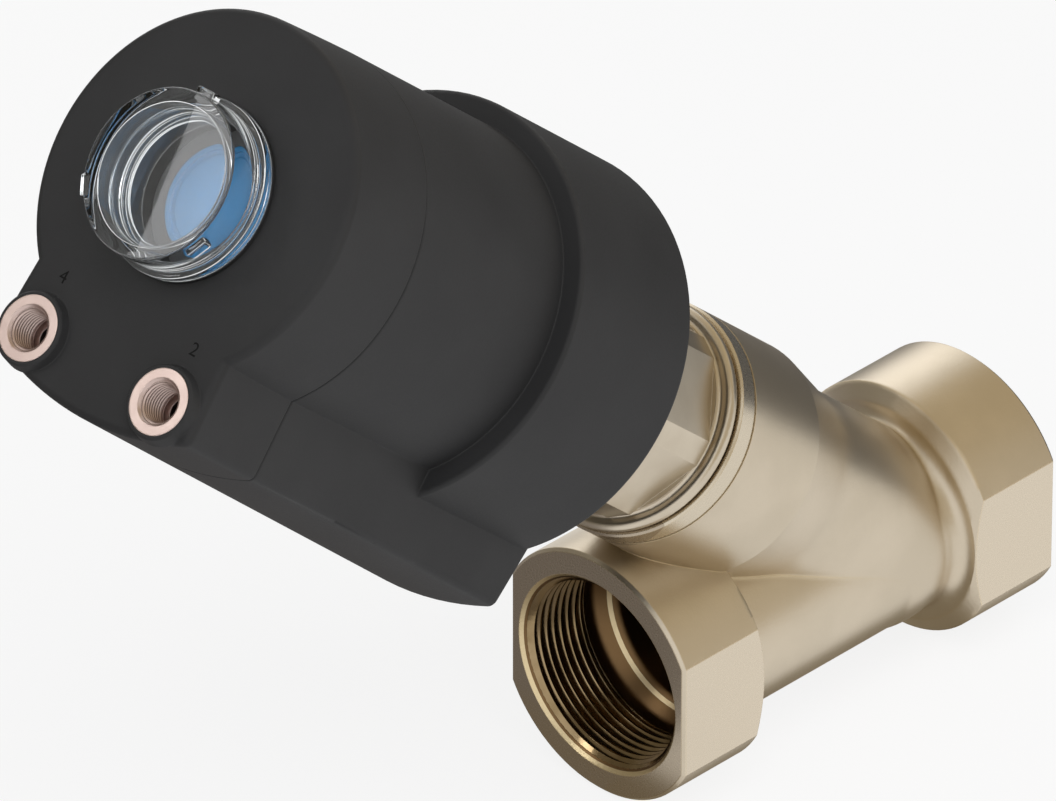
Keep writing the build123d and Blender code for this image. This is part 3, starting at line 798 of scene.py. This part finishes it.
# Clear dome, turned more finely than its solid, with its lugs
dome = {
    "tubeRadius": 19.3 * mm,
    "innerRadius": 16.5 * mm,
    "window": 2.0 * mm,
    "flatRim": 1.6 * mm,
    "flangeRadius": 20.55 * mm,
    "flangeHeight": 3.0 * mm,
    "spigotRadius": 17.55 * mm,
    "lipRadius": 15.0 * mm,
    "lipHeight": 1.0 * mm,
    "rounding": 0.5 * mm,
    "roundingSteps": 4,
    "roundedFrom": 40,
    "lugAngles": (90, 210, 330),
    "lugSize": (2.4 * mm, 5.2 * mm, 3.2 * mm),
    "lugBelowTop": 1.0 * mm,
    "lugSink": 0.9 * mm,
    "lugRing": 0.15 * mm,
    "lugRounding": 0.7 * mm,
    "steps": 160,
}


def turnOutline(outline, steps):
    # a filled disc is carried along the outline, ring by ring, and closed at its end
    startPiece()
    radius, height = outline[0]
    bpy.ops.mesh.primitive_circle_add(
        vertices=steps, radius=radius, fill_type="NGON", location=(0, 0, height)
    )
    bpy.ops.object.transform_apply(location=True, rotation=True, scale=True)
    piece = bpy.context.object
    bpy.ops.object.mode_set(mode="EDIT")
    bpy.ops.mesh.select_mode(type="EDGE")
    bpy.ops.mesh.select_all(action="SELECT")
    for radiusNext, heightNext in outline[1:]:
        bpy.ops.mesh.extrude_edges_move()
        share = radiusNext / radius
        bpy.ops.transform.resize(value=(share, share, 1), center_override=(0, 0, height))
        bpy.ops.transform.translate(value=(0, 0, heightNext - height))
        radius, height = radiusNext, heightNext
    bpy.ops.mesh.edge_face_add()
    bpy.ops.mesh.select_all(action="SELECT")
    bpy.ops.mesh.normals_make_consistent(inside=False)
    bpy.ops.object.mode_set(mode="OBJECT")
    return piece


def roundEdges(piece, width, values):
    bpy.context.view_layer.objects.active = piece
    bevel = piece.modifiers.new("rounding", "BEVEL")
    bevel.width = width
    bevel.segments = values["roundingSteps"]
    bevel.limit_method = "ANGLE"
    bevel.angle_limit = math.radians(values["roundedFrom"])
    bpy.ops.object.modifier_apply(modifier="rounding")


def makeDome(values):
    low, high = heightsOf("indicator_dome")
    flangeLow = heightsOf("dome_seal")[1]
    flangeTop = flangeLow + values["flangeHeight"]
    flat = values["flatRim"]  # keeps the window's shading flat within its rounded rim
    lugHigh = high - values["lugBelowTop"]
    lugLow = lugHigh - values["lugSize"][2]
    piece = turnOutline([
        (values["tubeRadius"] - flat, high),
        (values["tubeRadius"], high),
        (values["tubeRadius"], lugHigh + values["lugRing"]),
        (values["tubeRadius"], lugLow - values["lugRing"]),
        (values["tubeRadius"], flangeTop),
        (values["flangeRadius"], flangeTop),
        (values["flangeRadius"], flangeLow),
        (values["spigotRadius"], flangeLow),
        (values["spigotRadius"], low),
        (values["innerRadius"], low),
        (values["innerRadius"], flangeLow),
        (values["lipRadius"], flangeLow),
        (values["lipRadius"], flangeLow + values["lipHeight"]),
        (values["innerRadius"], flangeLow + values["lipHeight"]),
        (values["innerRadius"], high - values["window"]),
        (values["innerRadius"] - flat, high - values["window"]),
    ], values["steps"])
    roundEdges(piece, values["rounding"], values)
    out, wide, tall = values["lugSize"]
    for angle in values["lugAngles"]:
        startPiece()
        place = (values["tubeRadius"] - values["lugSink"] + out / 2, 0, (lugLow + lugHigh) / 2)
        bpy.ops.mesh.primitive_cube_add(size=1, location=place, scale=(out, wide, tall))
        lug = bpy.context.object
        bpy.ops.object.transform_apply(location=True, rotation=True, scale=True)
        roundEdges(lug, values["lugRounding"], values)
        lug.data.transform(Matrix.Rotation(math.radians(angle), 4, "Z"))
        join = piece.modifiers.new("lug", "BOOLEAN")
        join.object = lug
        join.operation = "UNION"
        bpy.context.view_layer.objects.active = piece
        bpy.ops.object.modifier_apply(modifier="lug")
        bpy.data.objects.remove(lug)
    clear = materials["clear_dome"]
    finishPiece(piece, "clear_dome_cap", stemMatrix, "actuator", clear, 30)
    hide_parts("indicator_dome")


makeDome(dome)
print("dome made")

# Port numbers printed beside the air ports
portNumbers = {
    "size": 4.4 * mm,
    "thickness": 0.03 * mm,
    "places": {"2": (20.1 * mm, -29.7 * mm), "4": (-20.3 * mm, -29.8 * mm)},
}
inkMaterial = makeInk("printedInk", printedInk)
for digit, (side, drop) in portNumbers["places"].items():
    startPiece()
    bpy.ops.object.text_add(location=(side, drop, faceHeight))
    piece = bpy.context.object
    piece.data.body = digit
    piece.data.size = portNumbers["size"]
    piece.data.align_x = "CENTER"
    piece.data.align_y = "CENTER"
    piece.data.extrude = portNumbers["thickness"]
    bpy.ops.object.convert(target="MESH")
    piece = bpy.context.object
    name = f"port_number_{digit}"
    finishPiece(piece, name, stemMatrix, "actuator", inkMaterial)
print("port numbers printed")

# Stage, lamps and camera
studio = {
    "floorSize": 9.0,
    "floorMiddle": 0.05,
    "floorDrop": 0.2 * mm,
    "floorColour": (0.88, 0.88, 0.88, 1),
    "floorRoughness": 0.9,
    "backgroundShare": 0.85,
    "roomLevel": 0.38,
}
# places from the part's middle; the fill lamp's is right, up and back in the camera's view
lamps = {
    "keyLamp": {"place": (-0.5, -0.7, 1.4), "size": 1.1, "power": 12.0, "mirrored": False},
    "rearLamp": {"place": (0.88, 1.11, 0.48), "size": 0.7, "power": 1.0, "mirrored": True},
    "fillLamp": {"place": (1.6, 0.5, 0.9), "size": 1.4, "power": 8.0, "mirrored": False},
}
# cards that only reflections show, as beside metal in a photo studio
cardHeight = 0.1 * mm
floorCards = {
    "rearFloorCard": {
        "turn": 18, "near": 0.12, "far": 2.4, "widths": (0.1, 4.8), "tone": (0.105, 0.11, 0.12, 1),
    },
    # painted shadow: a dark floor sheet, seen only in reflections, for the floor shaded by the actuator in front
    # of the body
    "frontFloorCard": {
        "turn": 130, "near": 0.03, "far": 0.9, "widths": (0.08, 1.6), "tone": (0.27, 0.25, 0.24, 1),
    },
    # painted shadow: a dark floor sheet, seen only in reflections, for the floor's shadow right under the body
    "underCard": {
        "turn": 90, "near": -0.026, "far": 0.07, "widths": (0.15, 0.15),
        "tone": (0.27, 0.23, 0.17, 1),
    },
}
standingCards = {
    "rearCard": {
        "turn": 0, "rise": 11, "away": 1.1, "size": (1.2, 0.46), "tone": (0.14, 0.14, 0.14, 1),
    },
    "upperCard": {
        "turn": -12, "rise": 48, "away": 1.0, "size": (1.3, 0.75), "tone": (0.58, 0.49, 0.34, 1),
    },
    "sideCard": {
        "turn": -78, "rise": 22, "away": 1.0, "size": (1.7, 0.9), "tone": (0.62, 0.55, 0.43, 1),
    },
    "leftCard": {
        "turn": 133, "rise": 18, "away": 1.0, "size": (1.9, 1.0), "tone": (0.24, 0.22, 0.18, 1),
    },
    "topCard": {
        "turn": 0, "rise": 90, "away": 1.2, "size": (1.4, 1.4), "tone": (0.50, 0.43, 0.31, 1),
    },
}
glintCard = {
    "place": (-232 * mm, 0 * mm, 694.5 * mm),
    "roll": 7.7,
    "size": (150 * mm, 200 * mm),
    "tone": (1, 1, 1, 1),
    "strength": 4.0,
}
viewAngle = {
    "turn": 45.09,
    "tilt": 33.67,
    "across": -74.57 * mm,
    "up": 29.01 * mm,
    "away": 3954.8 * mm,
    "lens": 593.18,
    "sensor": 36.0,
    "clipEnd": 50,
}


def whiteShare(tree):
    path = addNode(tree, "ShaderNodeLightPath")
    seen = calculate(tree, "MAXIMUM", path.outputs["Is Camera Ray"], path.outputs["Is Glossy Ray"])
    return calculate(tree, "MAXIMUM", seen, path.outputs["Is Transmission Ray"])


def makeFloor(values):
    startPiece()
    place = (values["floorMiddle"], 0, cadBox[0].z - values["floorDrop"])
    bpy.ops.mesh.primitive_plane_add(size=values["floorSize"], location=place)
    floor = bpy.context.object
    floor.name = "floor"
    material, tree, shader = newMaterial("paleFloor")
    shader.inputs["Base Color"].default_value = values["floorColour"]
    shader.inputs["Roughness"].default_value = values["floorRoughness"]
    glow = addNode(tree, "ShaderNodeEmission")
    mix = addNode(tree, "ShaderNodeMixShader")
    share = calculate(tree, "MULTIPLY", whiteShare(tree), values["backgroundShare"])
    feed(tree, mix.inputs[0], share)
    tree.links.new(shader.outputs[0], mix.inputs[1])
    tree.links.new(glow.outputs[0], mix.inputs[2])
    tree.links.new(mix.outputs[0], tree.nodes["Material Output"].inputs["Surface"])
    floor.data.materials.append(material)


def makeWorld(values):
    world = bpy.data.worlds.new("studio")
    world.use_nodes = True
    bpy.context.scene.world = world
    tree = world.node_tree
    room = tree.nodes["Background"]
    room.inputs["Color"].default_value = (1, 1, 1, 1)
    room.inputs["Strength"].default_value = values["roomLevel"]
    white = addNode(tree, "ShaderNodeBackground")
    white.inputs["Color"].default_value = (1, 1, 1, 1)
    mix = addNode(tree, "ShaderNodeMixShader")
    feed(tree, mix.inputs[0], whiteShare(tree))
    tree.links.new(room.outputs[0], mix.inputs[1])
    tree.links.new(white.outputs[0], mix.inputs[2])
    tree.links.new(mix.outputs[0], tree.nodes["World Output"].inputs["Surface"])


def addLamp(name, place, target, values):
    bpy.ops.object.light_add(type="AREA", location=place)
    lamp = bpy.context.object
    lamp.name = name
    lamp.data.size = values["size"]
    lamp.data.energy = values["power"]
    lamp.rotation_mode = "QUATERNION"
    lamp.rotation_quaternion = (target - place).to_track_quat("-Z", "Y")
    lamp.visible_glossy = values["mirrored"]


def addCard(name, matrix, size, tone, strength=1.0, nearShare=1.0):
    startPiece()
    bpy.ops.mesh.primitive_plane_add(size=1)
    card = bpy.context.object
    card.name = name
    selectVertices(card, lambda place: place.y < 0)
    bpy.ops.transform.resize(value=(nearShare, 1, 1), center_override=(0, 0, 0))
    selectVertices(card, lambda place: True)
    bpy.ops.transform.resize(value=(size[0], size[1], 1), center_override=(0, 0, 0))
    bpy.ops.object.mode_set(mode="OBJECT")
    card.data.transform(matrix)
    for ray in ("camera", "diffuse", "transmission", "volume_scatter", "shadow"):
        setattr(card, "visible_" + ray, False)
    material, _, shader = newMaterial(name)
    shader.inputs["Base Color"].default_value = (0, 0, 0, 1)
    shader.inputs["Specular IOR Level"].default_value = 0
    shader.inputs["Emission Color"].default_value = tone
    shader.inputs["Emission Strength"].default_value = strength
    card.data.materials.append(material)


def addFloorCard(name, values):
    # a wedge on the floor that widens from near the body's middle to far from it
    turn = math.radians(values["turn"])
    ahead = Vector((math.cos(turn), math.sin(turn), 0))
    nearWidth, farWidth = values["widths"]
    length = values["far"] - values["near"]
    spot = Vector((pipeLength / 2, 0, cadBox[0].z - cardHeight))
    spot += ahead * (values["far"] + values["near"]) / 2
    matrix = placeMatrix(spot, ahead.cross(Vector((0, 0, 1))), ahead, Vector((0, 0, 1)))
    nearShare = nearWidth / farWidth
    addCard(name, matrix, (farWidth, length), values["tone"], nearShare=nearShare)


def addStandingCard(name, values):
    turn, rise = math.radians(values["turn"]), math.radians(values["rise"])
    reach = math.cos(rise)
    outward = Vector((math.cos(turn) * reach, math.sin(turn) * reach, math.sin(rise)))
    side = Vector((-math.sin(turn), math.cos(turn), 0))
    spot = Vector((pipeLength / 2, 0, 0)) + outward * values["away"]
    matrix = placeMatrix(spot, side, outward.cross(side), outward)
    addCard(name, matrix, values["size"], values["tone"])


def addGlintCard(values):
    # the window of the dome mirrors this small bright card
    x, y, height = values["place"]
    roll = math.radians(values["roll"])
    xAxis = across * math.cos(roll) + upSlope * math.sin(roll)
    spot = crossing + across * x + upSlope * y + along * height
    matrix = placeMatrix(spot, xAxis, along.cross(xAxis), along)
    addCard("glintCard", matrix, values["size"], values["tone"], values["strength"])


def addCamera(values):
    turn = math.radians(values["turn"])
    tilt = math.radians(values["tilt"])
    right = Vector((math.sin(turn), -math.cos(turn), 0))
    low, flat = math.sin(tilt), math.cos(tilt)
    up = Vector((math.cos(turn) * low, math.sin(turn) * low, flat))
    forward = Vector((math.cos(turn) * flat, math.sin(turn) * flat, -low))
    place = crossing + right * values["across"] + up * values["up"] - forward * values["away"]
    bpy.ops.object.camera_add(location=place)
    camera = bpy.context.object
    camera.matrix_world = placeMatrix(camera.location, right, up, -forward)
    camera.data.sensor_fit = "HORIZONTAL"
    camera.data.sensor_width = values["sensor"]
    camera.data.lens = values["lens"]
    camera.data.clip_end = values["clipEnd"]
    bpy.context.scene.camera = camera
    return right, up, forward


makeFloor(studio)
makeWorld(studio)
right, up, forward = addCamera(viewAngle)
middle = (cadBox[0] + cadBox[1]) / 2
toRight, toUp, toBack = lamps["fillLamp"]["place"]
lampPlaces = {
    "keyLamp": middle + Vector(lamps["keyLamp"]["place"]),
    "rearLamp": middle + Vector(lamps["rearLamp"]["place"]),
    "fillLamp": middle + right * toRight + up * toUp - forward * toBack,
}
for name, values in lamps.items():
    addLamp(name, lampPlaces[name], middle, values)
for name, values in floorCards.items():
    addFloorCard(name, values)
for name, values in standingCards.items():
    addStandingCard(name, values)
addGlintCard(glintCard)
bpy.context.scene.view_settings.view_transform = "Standard"
print("studio ready")
